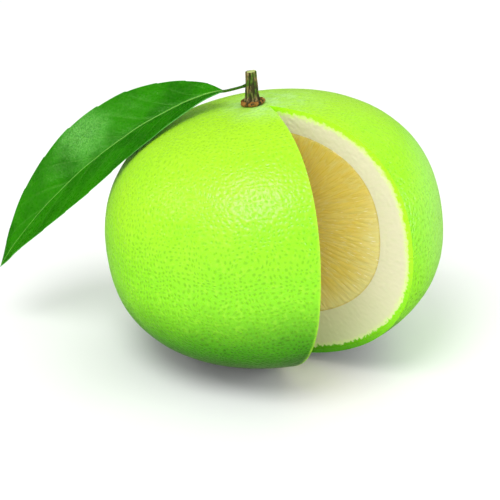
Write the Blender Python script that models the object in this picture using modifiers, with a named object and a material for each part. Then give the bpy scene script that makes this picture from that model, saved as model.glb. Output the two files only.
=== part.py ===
"""Pomelo with a wedge cut out of it, its calyx, its stem and one leaf.

The fruit is three nested solids, green skin, white pith and yellow flesh, turned on one axis
and cut by the same two knife planes. It leans a little and rests on a small flat spot, whose
centre is the origin. +Z is up and the cut faces look towards -Y and +X. Lengths are metres.
"""
import math

import bmesh
import bpy
from mathutils import Matrix, Vector

MM = 0.001

# Fruit: half a superellipse each above and below the widest ring, turned on the fruit's axis
FRUIT_RADIUS = 80.0 * MM
CROWN_HEIGHT = 63.4 * MM
BASE_HEIGHT = 58.2 * MM
CROWN_FULLNESS = 2.37
BASE_FULLNESS = 2.34
SKIN_THICKNESS = 2.2 * MM

# Flesh: sits a little above the widest ring, so the pith is thickest underneath
FLESH_RADIUS = 62.9 * MM
FLESH_HALF_HEIGHT = 45.0 * MM
FLESH_FULLNESS = 2.32
FLESH_RISE = 7.0 * MM

# How the fruit stands
LEAN_LEFT = math.radians(7.76)
LEAN_BACK = math.radians(2.75)
FLAT_DEPTH = 1.5 * MM

# The two knife cuts: azimuth from the front towards +X, tilt, and distance from the centre
LEFT_CUT = (math.radians(17.7), math.radians(-7.6), -4.4 * MM)
RIGHT_CUT = (math.radians(55.4), math.radians(-4.0), -5.3 * MM)

# Juice sacs that stand out on the flesh's cut faces, raised by a formula
SAC_RINGS = 4
SACS_PER_TURN = 32
SAC_RELIEF = 0.9 * MM
SAC_FACE_RADIUS = 72.0 * MM
CORE_MARGIN = 7.0 * MM

# Calyx, a five-lobed button beside the fruit's pole
CALYX_RADIUS = 5.3 * MM
CALYX_HEIGHT = 3.0 * MM
CALYX_LOBES = 5
LOBE_RELIEF = 0.9 * MM
CALYX_SHIFT = -1.6 * MM
SOCKET_DEPTH = 1.6 * MM

# Stem stub with bark ridges
STEM_LENGTH = 14.4 * MM
STEM_FOOT_RADIUS = 3.2 * MM
STEM_TOP_RADIUS = 2.3 * MM
STEM_LEAN = math.radians(4.5)
BARK_RIDGES = 8
BARK_RELIEF = 0.22 * MM

# Leaf: midrib as four control points from the fruit's centre, in upright axes
MIDRIB = (
    Vector((-23.0, 1.5, 69.8)) * MM,
    Vector((-49.4, 23.8, 57.7)) * MM,
    Vector((-102.9, 17.6, 24.1)) * MM,
    Vector((-133.0, 18.7, -26.9)) * MM,
)
LEAF_HALF_WIDTH = 26.0 * MM
LEAF_BROADEST = 1.127
LEAF_FULLNESS = 0.96
LEAF_STUB_WIDTH = 0.5 * MM
BLADE_TURN = (math.radians(22.0), math.radians(27.0))
BLADE_FOLD = (math.radians(15.8), math.radians(13.4))
NEAR_DRAPE = math.radians(12.6)
DRAPE_END = 0.44
BLADE_THICKNESS = 0.7 * MM
MIDRIB_THICKNESS = 1.5 * MM
BLADE_WAVE = 0.4 * MM
VEIN_PAIRS = 9
MARGIN_TEETH = 10
TOOTH_DEPTH = 0.025
PETIOLE_RADIUS = 0.65 * MM
PETIOLE_HEIGHT = 7.6 * MM
PETIOLE_OVERLAP = 0.12

# Meshing
CONTACT_GAP = 0.35 * MM
MERGE = 0.01 * MM
TURN_STEPS = 48
FRUIT_RINGS = 20
FLESH_RINGS = 14
SAC_SAMPLES = 3
LEAF_LENGTH_STEPS = 40
LEAF_HALF_STEPS = 4

SKIN_GREEN = (0.42, 0.90, 0.03, 1.0)
PITH_CREAM = (0.84, 0.79, 0.60, 1.0)
FLESH_GOLD = (0.62, 0.46, 0.12, 1.0)
CALYX_BROWN = (0.26, 0.12, 0.03, 1.0)
STEM_BROWN = (0.13, 0.11, 0.04, 1.0)
LEAF_GREEN = (0.03, 0.22, 0.01, 1.0)


def clear_scene():
    for item in list(bpy.data.objects):
        bpy.data.objects.remove(item, do_unlink=True)


def new_collection(name):
    group = bpy.data.collections.new(name)
    bpy.context.scene.collection.children.link(group)
    return group


def add_object(mesh, group, parent=None):
    item = bpy.data.objects.new(mesh.name, mesh)
    group.objects.link(item)
    item.parent = parent
    return item


def mesh_from(builder, name):
    """Turn a finished bmesh into a mesh datablock."""
    mesh = bpy.data.meshes.new(name)
    builder.to_mesh(mesh)
    builder.free()
    return mesh


def finish_piece(item, colour, roughness, sharp_angle=math.radians(35)):
    """Give a piece its own plain material and smooth shading."""
    material = bpy.data.materials.new(item.name)
    material.use_nodes = True
    shader = material.node_tree.nodes["Principled BSDF"]
    shader.inputs["Base Color"].default_value = colour
    shader.inputs["Roughness"].default_value = roughness
    shader.inputs["Metallic"].default_value = 0.0
    item.data.materials.append(material)
    item.data.shade_smooth()
    item.data.set_sharp_from_angle(angle=sharp_angle)


def make_tool(item):
    item.hide_render = True
    item.display_type = "WIRE"


def add_boolean(item, operation, other):
    modifier = item.modifiers.new(f"{operation.lower()}_{other.name}", "BOOLEAN")
    modifier.operation = operation
    modifier.object = other
    modifier.solver = "EXACT"


# Where the fruit stands

def lean_rotation():
    """Shortest turn that takes the upright axis to the leaning one."""
    axis = Vector((-math.tan(LEAN_LEFT), math.tan(LEAN_BACK), 1.0))
    return Vector((0.0, 0.0, 1.0)).rotation_difference(axis).to_matrix()


def lowest_point(turn):
    """Lowest point of the leaning fruit, from its centre, in upright axes."""
    down = turn.transposed() @ Vector((0.0, 0.0, -1.0))
    sideways = math.hypot(down.x, down.y)
    dual = BASE_FULLNESS / (BASE_FULLNESS - 1.0)
    reach = ((FRUIT_RADIUS * sideways) ** dual + (BASE_HEIGHT * -down.z) ** dual) ** (1.0 / dual)
    power = 1.0 / (BASE_FULLNESS - 1.0)
    radius = FRUIT_RADIUS * (FRUIT_RADIUS * sideways / reach) ** power
    depth = BASE_HEIGHT * (BASE_HEIGHT * -down.z / reach) ** power
    local = Vector((down.x / sideways * radius, down.y / sideways * radius, -depth))
    return turn @ local


def fruit_centre(turn):
    return -lowest_point(turn) - Vector((0.0, 0.0, FLAT_DEPTH))


# Turned bodies

def turned_profile(radius, crown, base, crown_fullness, base_fullness, rings, rise=0.0):
    """Half outline from the top pole down to the bottom pole, at +X."""
    points = []
    for ring in range(rings + 1):
        angle = math.pi * ring / rings
        across, along = math.sin(angle), math.cos(angle)
        height, fullness = (crown, crown_fullness) if along >= 0 else (base, base_fullness)
        reach = radius * abs(across) ** (2.0 / fullness)
        level = math.copysign(height * abs(along) ** (2.0 / fullness), along)
        points.append(Vector((reach, 0.0, level + rise)))
    points[0].x = points[-1].x = 0.0
    return points


def turned_body(name, points, group, parent):
    """Profile line with a Screw modifier that turns it once round the fruit's axis."""
    builder = bmesh.new()
    corners = [builder.verts.new(point) for point in points]
    for upper, lower in zip(corners, corners[1:]):
        builder.edges.new((upper, lower))
    item = add_object(mesh_from(builder, name), group, parent)
    screw = item.modifiers.new("turn", "SCREW")
    screw.axis = "Z"
    screw.angle = math.tau
    screw.steps = screw.render_steps = TURN_STEPS
    screw.use_merge_vertices = True
    screw.merge_threshold = MERGE
    return item


def fruit_profile(inset):
    return turned_profile(FRUIT_RADIUS - inset, CROWN_HEIGHT - inset, BASE_HEIGHT - inset,
                          CROWN_FULLNESS, BASE_FULLNESS, FRUIT_RINGS)


def flesh_profile(outset):
    return turned_profile(FLESH_RADIUS + outset, FLESH_HALF_HEIGHT + outset,
                          FLESH_HALF_HEIGHT + outset, FLESH_FULLNESS, FLESH_FULLNESS,
                          FLESH_RINGS, FLESH_RISE)


# The wedge that is missing

def cut_normal(cut):
    azimuth, tilt, _ = cut
    return Vector((math.cos(azimuth) * math.cos(tilt), math.sin(azimuth) * math.cos(tilt),
                   math.sin(tilt)))


def cut_frame(cut):
    """Matrix whose Z is the knife plane's normal, X points out of the fruit and Y up."""
    normal = cut_normal(cut)
    outward = Vector((math.sin(cut[0]), -math.cos(cut[0]), 0.0))
    upward = normal.cross(outward)
    turn = Matrix((outward, upward, normal)).transposed().to_4x4()
    core = Vector((0.0, 0.0, FLESH_RISE))
    core += normal * (cut[2] - core.dot(normal))
    return Matrix.Translation(core) @ turn


def wedge_tool(group, parent):
    """A block bisected by both knife planes, for the skin and the pith."""
    builder = bmesh.new()
    bmesh.ops.create_cube(builder, size=4.0 * FRUIT_RADIUS)
    for cut, side in ((LEFT_CUT, -1.0), (RIGHT_CUT, 1.0)):
        normal = cut_normal(cut)
        everything = builder.verts[:] + builder.edges[:] + builder.faces[:]
        sliced = bmesh.ops.bisect_plane(builder, geom=everything, plane_co=normal * cut[2],
                                        plane_no=normal * side, clear_outer=True)
        rim = [part for part in sliced["geom_cut"] if isinstance(part, bmesh.types.BMEdge)]
        bmesh.ops.contextual_create(builder, geom=rim)
    bmesh.ops.recalc_face_normals(builder, faces=builder.faces[:])
    item = add_object(mesh_from(builder, "wedge_tool"), group, parent)
    make_tool(item)
    return item


def sac_height(radius, angle):
    """Rounded rows of juice sacs that point to the core, each ring offset by half a sac.

    The relief fades out beside the core, so that the two cut faces meet in a clean line.
    """
    ring = radius / SAC_FACE_RADIUS * SAC_RINGS
    stagger = math.pi / 2 * (int(ring) % 2)
    across = abs(math.sin(SACS_PER_TURN / 2 * angle + stagger)) ** 0.7
    along = abs(math.sin(math.pi * (ring % 1.0))) ** 0.5
    fade = min(1.0, max(0.0, radius * math.cos(angle) / CORE_MARGIN - 1.0))
    return SAC_RELIEF * across * along * fade


def sac_tool(name, cut, side, group, parent):
    """A thick round block whose end on the knife plane carries the sacs' relief."""
    around = SACS_PER_TURN * SAC_SAMPLES
    across = SAC_RINGS * SAC_SAMPLES
    builder = bmesh.new()
    bmesh.ops.create_grid(builder, x_segments=around, y_segments=across, size=1.0)
    for corner in builder.verts:
        angle = math.pi * (corner.co.x + 1.0)
        radius = SAC_FACE_RADIUS * (corner.co.y + 1.0) / 2.0
        level = side * sac_height(radius, angle)
        corner.co = Vector((radius * math.cos(angle), radius * math.sin(angle), level))
    bmesh.ops.remove_doubles(builder, verts=builder.verts, dist=MERGE)
    bmesh.ops.triangulate(builder, faces=builder.faces[:])
    raised = bmesh.ops.extrude_face_region(builder, geom=builder.faces[:])
    for part in raised["geom"]:
        if isinstance(part, bmesh.types.BMVert):
            part.co.z = side * 2.0 * FRUIT_RADIUS
    bmesh.ops.recalc_face_normals(builder, faces=builder.faces[:])
    bmesh.ops.transform(builder, matrix=cut_frame(cut), verts=builder.verts)
    item = add_object(mesh_from(builder, name), group, parent)
    make_tool(item)
    return item


# Fruit

def build_skin(group, tools, fruit, wedge):
    skin = turned_body("skin", fruit_profile(0.0), group, fruit)
    shell = skin.modifiers.new("shell", "SOLIDIFY")
    shell.thickness = SKIN_THICKNESS
    shell.offset = -1.0
    add_boolean(skin, "DIFFERENCE", wedge)
    builder = bmesh.new()
    bmesh.ops.create_cube(builder, size=FRUIT_RADIUS)
    bmesh.ops.translate(builder, vec=(0.0, 0.0, -FRUIT_RADIUS / 2.0), verts=builder.verts)
    ground = add_object(mesh_from(builder, "ground_tool"), tools)
    make_tool(ground)
    add_boolean(skin, "DIFFERENCE", ground)
    finish_piece(skin, SKIN_GREEN, 0.38)


def build_pith(group, tools, fruit, wedge):
    pith = turned_body("pith", fruit_profile(SKIN_THICKNESS + CONTACT_GAP), group, fruit)
    hollow = turned_body("flesh_space_tool", flesh_profile(CONTACT_GAP), tools, fruit)
    make_tool(hollow)
    add_boolean(pith, "DIFFERENCE", hollow)
    add_boolean(pith, "DIFFERENCE", wedge)
    finish_piece(pith, PITH_CREAM, 0.75)


def build_flesh(group, tools, fruit):
    flesh = turned_body("flesh", flesh_profile(0.0), group, fruit)
    left = sac_tool("left_sac_tool", LEFT_CUT, 1.0, tools, fruit)
    right = sac_tool("right_sac_tool", RIGHT_CUT, -1.0, tools, fruit)
    add_boolean(left, "INTERSECT", right)
    add_boolean(flesh, "DIFFERENCE", left)
    finish_piece(flesh, FLESH_GOLD, 0.35)


# Calyx and stem

def crown_place():
    """Foot of the calyx, just above the skin beside the fruit's pole."""
    return Vector((CALYX_SHIFT, 0.0, CROWN_HEIGHT + CONTACT_GAP))


def calyx_outline():
    """Half section of the button, from its top centre down its outer side to its foot."""
    return (
        Vector((0.0, 0.0, 0.75 * CALYX_HEIGHT)),
        Vector((0.62 * CALYX_RADIUS, 0.0, 0.75 * CALYX_HEIGHT)),
        Vector((0.80 * CALYX_RADIUS, 0.0, CALYX_HEIGHT)),
        Vector((0.95 * CALYX_RADIUS, 0.0, 0.80 * CALYX_HEIGHT)),
        Vector((CALYX_RADIUS, 0.0, 0.42 * CALYX_HEIGHT)),
        Vector((0.88 * CALYX_RADIUS, 0.0, 0.0)),
        Vector((0.0, 0.0, 0.0)),
    )


def stem_matrix():
    """Stem's own axes in the fruit's: its foot in the calyx's socket, leaning back upright."""
    foot = crown_place() + Vector((0.0, 0.0, 0.75 * CALYX_HEIGHT - SOCKET_DEPTH + CONTACT_GAP))
    return Matrix.Translation(foot) @ Matrix.Rotation(STEM_LEAN, 4, "Y")


def build_calyx(group, tools, fruit):
    builder = bmesh.new()
    corners = [builder.verts.new(point) for point in calyx_outline()]
    edges = [builder.edges.new(pair) for pair in zip(corners, corners[1:])]
    bmesh.ops.spin(builder, geom=corners + edges, axis=(0.0, 0.0, 1.0), cent=(0.0, 0.0, 0.0),
                   angle=math.tau, steps=6 * CALYX_LOBES, use_merge=True)
    bmesh.ops.remove_doubles(builder, verts=builder.verts, dist=MERGE)
    bmesh.ops.recalc_face_normals(builder, faces=builder.faces[:])
    for corner in builder.verts:
        radius = math.hypot(corner.co.x, corner.co.y)
        if radius > 0.7 * CALYX_RADIUS:
            angle = math.atan2(corner.co.y, corner.co.x)
            lobe = LOBE_RELIEF * abs(math.cos(CALYX_LOBES / 2.0 * angle))
            corner.co.x *= 1.0 + lobe / radius
            corner.co.y *= 1.0 + lobe / radius
    bmesh.ops.translate(builder, vec=crown_place(), verts=builder.verts)
    calyx = add_object(mesh_from(builder, "calyx"), group, fruit)

    builder = bmesh.new()
    radius = STEM_FOOT_RADIUS + BARK_RELIEF + CONTACT_GAP
    bmesh.ops.create_cone(builder, cap_ends=True, segments=24, radius1=radius, radius2=radius,
                          depth=2.0 * CALYX_HEIGHT)
    lift = Vector((0.0, 0.0, CALYX_HEIGHT - CONTACT_GAP))
    bmesh.ops.transform(builder, matrix=stem_matrix() @ Matrix.Translation(lift),
                        verts=builder.verts)
    socket = add_object(mesh_from(builder, "socket_tool"), tools, fruit)
    make_tool(socket)
    add_boolean(calyx, "DIFFERENCE", socket)
    finish_piece(calyx, CALYX_BROWN, 0.7)


def build_stem(group, fruit):
    builder = bmesh.new()
    bmesh.ops.create_cone(builder, cap_ends=True, segments=4 * BARK_RIDGES,
                          radius1=STEM_FOOT_RADIUS, radius2=STEM_TOP_RADIUS, depth=STEM_LENGTH)
    upright = [edge for edge in builder.edges
               if abs(edge.verts[0].co.z - edge.verts[1].co.z) > 0.5 * STEM_LENGTH]
    bmesh.ops.subdivide_edges(builder, edges=upright, cuts=5)
    for corner in builder.verts:
        along = corner.co.z / STEM_LENGTH + 0.5
        angle = math.atan2(corner.co.y, corner.co.x)
        ridge = BARK_RELIEF * math.cos(BARK_RIDGES * angle + 1.3 * math.sin(math.tau * along))
        corner.co.x += ridge * math.cos(angle)
        corner.co.y += ridge * math.sin(angle)
    lift = Vector((0.0, 0.0, STEM_LENGTH / 2.0))
    bmesh.ops.transform(builder, matrix=stem_matrix() @ Matrix.Translation(lift),
                        verts=builder.verts)
    stem = add_object(mesh_from(builder, "stem"), group, fruit)
    finish_piece(stem, STEM_BROWN, 0.8)


# Leaf

def midrib_point(along):
    back = 1.0 - along
    return (back ** 3 * MIDRIB[0] + 3.0 * back ** 2 * along * MIDRIB[1]
            + 3.0 * back * along ** 2 * MIDRIB[2] + along ** 3 * MIDRIB[3])


def midrib_direction(along):
    back = 1.0 - along
    slope = (back ** 2 * (MIDRIB[1] - MIDRIB[0]) + 2.0 * back * along * (MIDRIB[2] - MIDRIB[1])
             + along ** 2 * (MIDRIB[3] - MIDRIB[2]))
    return slope.normalized()


def blade_axes(along):
    """Sideways and face-up directions of the blade at a place on the midrib."""
    ahead = midrib_direction(along)
    level = ahead.cross(Vector((0.0, 0.0, 1.0))).normalized()
    upright = level.cross(ahead)
    turn = BLADE_TURN[0] + (BLADE_TURN[1] - BLADE_TURN[0]) * along
    sideways = math.cos(turn) * level + math.sin(turn) * upright
    face_up = math.cos(turn) * upright - math.sin(turn) * level
    return sideways, face_up


def half_width(along):
    """Distance from the midrib to the toothed margin."""
    smooth = LEAF_HALF_WIDTH * math.sin(math.pi * along ** LEAF_BROADEST) ** LEAF_FULLNESS
    tooth = 1.0 - TOOTH_DEPTH * (MARGIN_TEETH * along % 1.0)
    return max(smooth * tooth, LEAF_STUB_WIDTH)


def blade_point(along, across):
    """Upper face of the blade: across runs from -1, the near margin, to 1, the far one.

    The near half droops towards the fruit's shoulder at its foot.
    """
    sideways, face_up = blade_axes(along)
    fold = BLADE_FOLD[0] + (BLADE_FOLD[1] - BLADE_FOLD[0]) * along
    if across < 0.0:
        fold -= NEAR_DRAPE * max(0.0, 1.0 - along / DRAPE_END)
    reach = half_width(along)
    wave = BLADE_WAVE * math.sin(VEIN_PAIRS * math.tau * (along - 0.12 * abs(across)))
    rise = abs(across) * (reach * math.sin(fold) + wave * reach / LEAF_HALF_WIDTH)
    return midrib_point(along) + across * reach * math.cos(fold) * sideways + rise * face_up


def build_leaf(group, tools, fruit):
    builder = bmesh.new()
    bmesh.ops.create_grid(builder, x_segments=LEAF_LENGTH_STEPS, y_segments=2 * LEAF_HALF_STEPS,
                          size=1.0)
    bmesh.ops.triangulate(builder, faces=builder.faces[:])
    place = {}
    for corner in builder.verts:
        place[corner.index] = ((corner.co.x + 1.0) / 2.0, corner.co.y)
    for corner in builder.verts:
        corner.co = blade_point(*place[corner.index])
    upper = builder.verts[:]
    lower = bmesh.ops.extrude_face_region(builder, geom=builder.faces[:])
    copies = [part for part in lower["geom"] if isinstance(part, bmesh.types.BMVert)]
    for corner, original in zip(copies, upper):
        along, across = place[original.index]
        _, face_up = blade_axes(along)
        rib = max(0.0, 1.0 - 5.0 * abs(across)) * (1.0 - 0.6 * along)
        thickness = BLADE_THICKNESS + (MIDRIB_THICKNESS - BLADE_THICKNESS) * rib
        corner.co -= thickness * face_up
    bmesh.ops.recalc_face_normals(builder, faces=builder.faces[:])
    leaf = add_object(mesh_from(builder, "leaf"), group)
    leaf.location = fruit.location
    petiole = build_petiole(tools, fruit)
    add_boolean(leaf, "UNION", petiole)
    finish_piece(leaf, LEAF_GREEN, 0.4)


def build_petiole(tools, fruit):
    """Thin round stalk from just short of the stem to well under the blade's base."""
    upright = lean_rotation().to_4x4()
    side = -(STEM_FOOT_RADIUS + STEM_TOP_RADIUS) / 2.0 - BARK_RELIEF - CONTACT_GAP
    foot = upright @ stem_matrix() @ Vector((side, 0.0, PETIOLE_HEIGHT))
    drop = Vector((0.0, 0.0, PETIOLE_RADIUS))
    joint = midrib_point(0.0) - drop
    bend = joint - 0.35 * (joint - foot).length * midrib_direction(0.0)
    stops = (foot, foot.lerp(bend, 0.6), joint, midrib_point(PETIOLE_OVERLAP) - drop)
    curve = bpy.data.curves.new("petiole_tool", "CURVE")
    curve.dimensions = "3D"
    curve.bevel_depth = PETIOLE_RADIUS
    curve.bevel_resolution = 2
    curve.use_fill_caps = True
    line = curve.splines.new("POLY")
    line.points.add(len(stops) - 1)
    for point, stop in zip(line.points, stops):
        point.co = (*stop, 1.0)
    line.points[0].radius = 1.25
    line.points[-1].radius = 0.6
    draft = add_object(curve, tools)
    view = bpy.context.evaluated_depsgraph_get()
    mesh = bpy.data.meshes.new_from_object(draft.evaluated_get(view))
    bpy.data.objects.remove(draft, do_unlink=True)
    builder = bmesh.new()
    builder.from_mesh(mesh)
    bmesh.ops.remove_doubles(builder, verts=builder.verts, dist=MERGE)
    bmesh.ops.recalc_face_normals(builder, faces=builder.faces[:])
    bpy.data.meshes.remove(mesh)
    petiole = add_object(mesh_from(builder, "petiole_tool"), tools)
    petiole.location = fruit.location
    make_tool(petiole)
    return petiole


def build():
    clear_scene()
    group = new_collection("pomelo")
    tools = new_collection("cutters")
    turn = lean_rotation()
    fruit = bpy.data.objects.new("fruit_axis", None)
    group.objects.link(fruit)
    fruit.rotation_euler = turn.to_euler()
    fruit.location = fruit_centre(turn)
    wedge = wedge_tool(tools, fruit)
    build_skin(group, tools, fruit, wedge)
    build_pith(group, tools, fruit, wedge)
    build_flesh(group, tools, fruit)
    build_calyx(group, tools, fruit)
    build_stem(group, fruit)
    build_leaf(group, tools, fruit)


build()
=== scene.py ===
"""Pomelo with a wedge cut out of it: its finished surfaces, light and camera.

The fruit's layers are modelled in the fruit's own axes, with +Z towards the stem, and then leaned
and set on the floor. The leaf is modelled in upright axes from the fruit's centre. Lengths are
metres.
"""

from collections import namedtuple
from math import atan2, copysign, cos, hypot, pi, radians, sin, sqrt, tan, tau

import bmesh
import bpy
from bpy.props import FloatProperty, FloatVectorProperty, IntProperty, PointerProperty
from mathutils import Matrix, Vector, noise


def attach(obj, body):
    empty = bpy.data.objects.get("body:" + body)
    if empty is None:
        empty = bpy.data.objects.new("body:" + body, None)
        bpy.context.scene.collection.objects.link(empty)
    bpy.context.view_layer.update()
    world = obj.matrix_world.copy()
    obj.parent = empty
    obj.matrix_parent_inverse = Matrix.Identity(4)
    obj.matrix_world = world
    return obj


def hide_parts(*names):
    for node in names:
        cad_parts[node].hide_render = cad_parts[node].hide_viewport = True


bl_info = {
    "name": "Cut pomelo",
    "version": (1, 0, 0),
    "blender": (4, 5, 0),
    "location": "3D View > Sidebar > Pomelo",
    "description": "Models and finishes a pomelo with a wedge cut out, its stem and its leaf",
    "category": "Add Mesh",
}

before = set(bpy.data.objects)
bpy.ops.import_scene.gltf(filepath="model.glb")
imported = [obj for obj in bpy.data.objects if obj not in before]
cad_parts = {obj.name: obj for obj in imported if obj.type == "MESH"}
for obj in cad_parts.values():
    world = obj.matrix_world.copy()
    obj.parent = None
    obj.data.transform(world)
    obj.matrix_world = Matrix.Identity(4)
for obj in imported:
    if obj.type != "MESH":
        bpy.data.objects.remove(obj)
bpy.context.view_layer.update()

MM = 0.001
UP = Vector((0.0, 0.0, 1.0))
MERGE = 0.002 * MM

# How the fruit stands: its centre, its lean and its flat spot, as in the CAD
FRUIT_CENTRE = Vector((14.148, -4.987, 58.038)) * MM
LEAN_LEFT = radians(7.76)
LEAN_BACK = radians(2.75)

# The two knife cuts: azimuth from the front towards +X, tilt, and distance from the centre
LEFT_CUT = (radians(17.7), radians(-7.6), -4.4 * MM)
RIGHT_CUT = (radians(55.4), radians(-4.0), -5.3 * MM)
NOTCH_MARGIN = 8.0 * MM

# Oil glands: how far they stray in their cells, and how much their rings bend
GLAND_SWAY = 0.50
GLAND_BEND = 9.0 * MM

# Rind: its depth under the CAD's, room between it and the pith, width of its swells and dents
RIND_INSET = 0.1 * MM
LAYER_GAP = 0.02 * MM
SWELL_WIDTH = 14.0 * MM
DENT_WIDTH = 4.5 * MM

# Green band on the cuts: its reach into the pith, its extra reach low down, its ragged edge
BAND_EXTRA = 0.4 * MM
BASE_BAND_EXTRA = 1.1 * MM
BAND_RAGGEDNESS = 4.2 * MM

# Cut faces: width of lumps and fibres, and lengths over which relief fades at rims and core
LUMP_WIDTH = 1.6 * MM
FIBRE_WIDTH = 4.5 * MM
PITH_RIM = 1.0 * MM
PITH_CORE = 4.0 * MM
PULP_RIM = 1.5 * MM
PULP_CORE = 7.0 * MM

# Mesh steps of the fruit, and halvings in the search for a layer's surface
RIND_CUTS = 109
LINING_CUTS = 23
FACE_STEPS = 420
PULP_FACE_RINGS = 62
PITH_FACE_RINGS = 26
HIDDEN_STEPS = 48
HALVINGS = 24

# Calyx: its profile from the middle out and down, in shares of its radius and height
CALYX_PROFILE = (
    (0.0, 0.56), (0.50, 0.56), (0.62, 0.52), (0.70, 0.56), (0.78, 0.66), (0.86, 0.68),
    (0.94, 0.56), (1.0, 0.34), (0.98, 0.12), (0.88, -0.08), (0.0, -0.08),
)
CALYX_STEPS = 60

# Stem: how deep it stands in the calyx, the relief of its bark and end, and its mesh steps
STEM_SINK = 0.9 * MM
BARK_RIDGES = 8
RIDGE_HEIGHT = 0.20 * MM
STRIP_HEIGHT = 0.26 * MM
FOOT_FLARE = 0.35 * MM
END_SLOPE = 0.35 * MM
END_RINGS = (0.128 * MM, 0.28 * MM, 0.48 * MM)
STEM_SEGMENTS = 72
STEM_CUTS = 44

# Leaf: midrib as four control points from the fruit's centre, in upright axes
MIDRIB = (
    Vector((-23.0, 1.5, 69.8)) * MM,
    Vector((-49.4, 23.8, 57.7)) * MM,
    Vector((-102.9, 17.6, 24.1)) * MM,
    Vector((-133.0, 18.7, -26.9)) * MM,
)
LEAF_BROADEST = 1.127
LEAF_FULLNESS = 0.96
BLADE_TURN = (radians(22.0), radians(27.0))
BLADE_FOLD = (radians(15.8), radians(13.4))
NEAR_DRAPE = radians(12.6)
DRAPE_END = 0.44
LEAF_LENGTH_STEPS = 210
LEAF_ROUND_STEPS = 210
PETIOLE_SHARE = 0.16
PETIOLE_SINK = 0.4 * MM

# Blade: half width at which it is fully formed, then its veins, ripple and pale margin
FULL_SPREAD = 6.0 * MM
VEIN_SWEEP = 0.20
VEIN_SHARE = 0.07
VEIN_DEPTH = 0.12 * MM
RIPPLE_HEIGHT = 0.4 * MM
MARGIN_WIDTH = 0.9 * MM
NEAR_MARGIN_EXTRA = 1.7 * MM

# Middle of the sheen painted on the leaf: share of its length and of its half width
LEAF_SHEEN = (0.64, 0.68)

# Camera, from the fit of the fruit's outline, with its lens and sensor in millimetres
CAMERA_AIM = Vector((2.71, -8.65, 49.61)) * MM
CAMERA_DISTANCE = 965.6 * MM
CAMERA_ELEVATION = radians(23.5)
CAMERA_LENS = 146.8
CAMERA_SENSOR = 36.0
CAMERA_CLIP = 0.05
FLOOR_HALF_WIDTH = 6.0

# Lamps, from the fruit's centre
LAMP_PLACES = {
    "key": Vector((-0.30, -0.62, 1.10)),
    "front": Vector((-0.9, -1.2, 0.35)),
    "side": Vector((1.35, -0.35, 0.40)),
    "left": Vector((-1.25, 0.02, 0.79)),
    "back": Vector((0.55, 1.15, 0.60)),
}

# A layer: half width, height above and below its ring, fullness of both, rise of the ring
Layer = namedtuple("Layer", "radius crown base crown_fullness base_fullness rise")


# Settings that a user may change

def length(name, description, default):
    return FloatProperty(name=name, description=description, default=default * MM, min=0.0,
                         precision=5, unit="LENGTH")


def ratio(name, description, default):
    return FloatProperty(name=name, description=description, default=default, min=0.0)


def colour(name, description, default):
    return FloatVectorProperty(name=name, description=description, default=default, size=3,
                               min=0.0, max=1.0, subtype="COLOR")


class FruitSettings(bpy.types.PropertyGroup):
    radius: length("Radius", "Half the width of the fruit", 80.0)
    crown_height: length("Crown height", "From the widest ring up to the stem end", 63.4)
    base_height: length("Base height", "From the widest ring down to the base", 58.2)
    crown_fullness: ratio("Crown fullness", "2 is an ellipse, more is squarer", 2.37)
    base_fullness: ratio("Base fullness", "2 is an ellipse, more is squarer", 2.34)
    rind_thickness: length("Rind thickness", "Depth of the green layer", 2.2)
    gland_spacing: length("Gland spacing", "Distance between oil glands", 2.6)
    gland_depth: length("Gland depth", "How far the rind dips at a gland", 0.30)
    swell_height: length("Swell height", "Broad unevenness of the rind", 0.40)


class RindColours(bpy.types.PropertyGroup):
    lime: colour("Lime", "Main colour of the rind", (0.28, 0.81, 0.006))
    # Painted light: the rind's lighter, yellower colour towards the top and the left, where the
    # key lamp falls
    painted_light: colour("Sunny", "Rind on its yellower side", (0.42, 0.83, 0.012))
    # Painted shade: the rind darkens towards its base and is darkest at the resting spot
    shade: colour("Shade", "Rind towards its base", (0.06, 0.35, 0.0006))
    base: colour("Base", "Rind at the resting spot", (0.009, 0.075, 0.0002))
    gland: colour("Gland", "Oil glands under the wax", (0.20, 0.60, 0.001))
    band: colour("Band", "Green band where the rind is cut", (0.43, 0.90, 0.008))
    fringe: colour("Fringe", "Yellow edge between the band and the pith", (0.66, 0.93, 0.22))
    # Paler round the stem; on the right side the same colour is a painted reflection of the pale
    # backdrop
    crown: colour("Crown", "Pale bloom round the stem and on the side", (0.52, 0.92, 0.26))
    # Painted highlight along the knife edge of the rind, also used for the paler pebble flecks
    rim: colour("Rim", "Pale edge where the knife went through the rind", (0.48, 0.93, 0.04))


class PithSettings(bpy.types.PropertyGroup):
    fibre_height: length("Fibre height", "Relief of the cut pith", 0.16)
    cream: colour("Cream", "Cut pith", (0.71, 0.69, 0.49))
    # Denser fibres, and also painted shade on the pith towards the base
    tint: colour("Tint", "Pith beside the green band", (0.74, 0.84, 0.40))
    fibre_streak_and_shade: colour("Streak", "Denser fibres in the pith", (0.62, 0.68, 0.38))


class PulpSettings(bpy.types.PropertyGroup):
    radius: length("Radius", "Half the width of the pulp", 62.9)
    half_height: length("Half height", "From the pulp's widest ring to its poles", 45.0)
    fullness: ratio("Fullness", "2 is an ellipse, more is squarer", 2.32)
    rise: length("Rise", "Height of the pulp above the fruit's widest ring", 7.0)
    sac_length: length("Sac length", "Length of a juice sac", 11.0)
    sac_width: length("Sac width", "Width of a juice sac near the rim", 3.0)
    sac_height: length("Sac height", "How far the juice sacs stand out", 0.42)
    gold: colour("Gold", "Juice sacs", (0.73, 0.585, 0.12))
    pale: colour("Pale", "Lighter juice sacs and their rims", (0.73, 0.69, 0.32))
    # Deeper juice between the sacs, and also painted shade towards the top of the pulp
    deep_juice_and_shade: colour("Deep", "Deeper juice between the sacs", (0.64, 0.48, 0.07))
    # Painted highlight: small white glints on the juice sacs
    painted_glint: colour("Moist", "Small wet flecks on the sacs", (0.95, 0.93, 0.78))


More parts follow.
